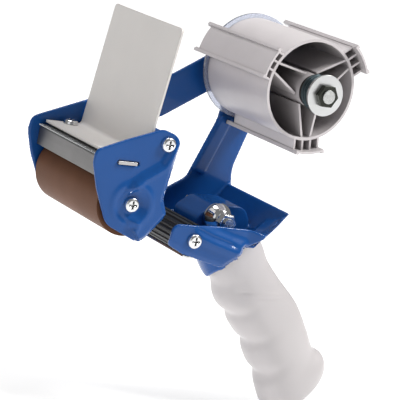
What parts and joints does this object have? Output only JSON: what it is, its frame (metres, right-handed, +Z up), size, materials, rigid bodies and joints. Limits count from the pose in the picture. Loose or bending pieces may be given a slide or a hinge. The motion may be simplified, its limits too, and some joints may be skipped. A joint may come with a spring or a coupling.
{
  "type": "tape dispenser",
  "caption": "Pistol-grip packing tape dispenser with a sprung brake hub, rubber application roller, fluted guide roller, serrated blade and press flap.",
  "frame": {"origin": "on the tape hub's axis, at the middle of the tape's width", "axes": "-Y along the hub axis towards the open side where the tape roll slides on, +X to the rear, +Z up with the tray level"},
  "size_m": [0.2162, 0.1042, 0.2381],
  "materials": {
    "frame_paint": "glossy enamel",
    "zinc_plate": "zinc plated sheet",
    "blade_steel": "ground steel",
    "flap_plastic": "fine satin",
    "screw_zinc": "bright zinc",
    "tyre_rubber": "smooth, slightly glossy",
    "core_plastic": "moulded",
    "bush_plastic": "moulded",
    "axle_steel": "turned",
    "guide_rubber": "moulded, fluted",
    "hub_plastic": "moulded satin",
    "disc_plastic": "translucent",
    "pad_fibre": "pressed fibre",
    "washer_zinc": "zinc plated",
    "nut_steel": "dark plated",
    "spring_steel": "blued wire",
    "grip_plastic": "moulded satin",
    "cup_chrome": "bright nickel"
  },
  "bodies": {
    "frame": {"main_frame": "frame_paint", "near_side_plate": "frame_paint", "cross_spacer": "frame_paint", "spacer_screws": "screw_zinc", "knife_bracket": "zinc_plate", "serrated_blade": "blade_steel", "blade_clamp": "zinc_plate", "press_flap": "flap_plastic", "flap_screws": "screw_zinc", "roller_axle": "axle_steel", "roller_screws": "screw_zinc", "guide_axle": "axle_steel", "guide_screws": "screw_zinc", "guide_shield": "zinc_plate", "axle_bolt": "axle_steel", "axle_lock_nut": "screw_zinc", "brake_spring": "spring_steel", "strut_screw": "screw_zinc", "strut_nut": "screw_zinc", "handle_grip": "grip_plastic", "handle_bolt": "axle_steel", "bolt_cup": "cup_chrome", "handle_nut": "cup_chrome"},
    "hub": {"hub": "hub_plastic", "hub_end_disc": "disc_plastic", "friction_pad": "pad_fibre"},
    "main_roller": {"roller_tyre": "tyre_rubber", "roller_core": "core_plastic", "roller_bushes": "bush_plastic"},
    "guide_roller": {"guide_roller": "guide_rubber"},
    "brake_washer": {"brake_washer": "washer_zinc"},
    "tension_nut": {"tension_nut": "nut_steel"}
  },
  "joints": [
    {"name": "hub_spin", "type": "hinge", "parent": "frame", "child": "hub", "pos_m": [0, 0, 0], "axis": [0, 1, 0], "continuous": true},
    {"name": "main_roller_spin", "type": "hinge", "parent": "frame", "child": "main_roller", "pos_m": [-0.1078, 0, -0.0754], "axis": [0, 1, 0], "continuous": true},
    {"name": "guide_roller_spin", "type": "hinge", "parent": "frame", "child": "guide_roller", "pos_m": [-0.0623, 0, -0.0933], "axis": [0, 1, 0], "continuous": true},
    {"name": "brake_travel", "type": "slide", "parent": "frame", "child": "brake_washer", "axis": [0, 1, 0], "range_m": [-0.0015, 0.002], "deforming": ["brake_spring"]},
    {"name": "tension_nut_turn", "type": "hinge", "parent": "brake_washer", "child": "tension_nut", "pos_m": [0, -0.05295, 0], "axis": [0, 1, 0], "range_deg": [-432.1, 576.1]}
  ],
  "couplings": [
    {"joint": "tension_nut_turn", "follows": "brake_travel", "rad_per_m": 5026.5}
  ]
}
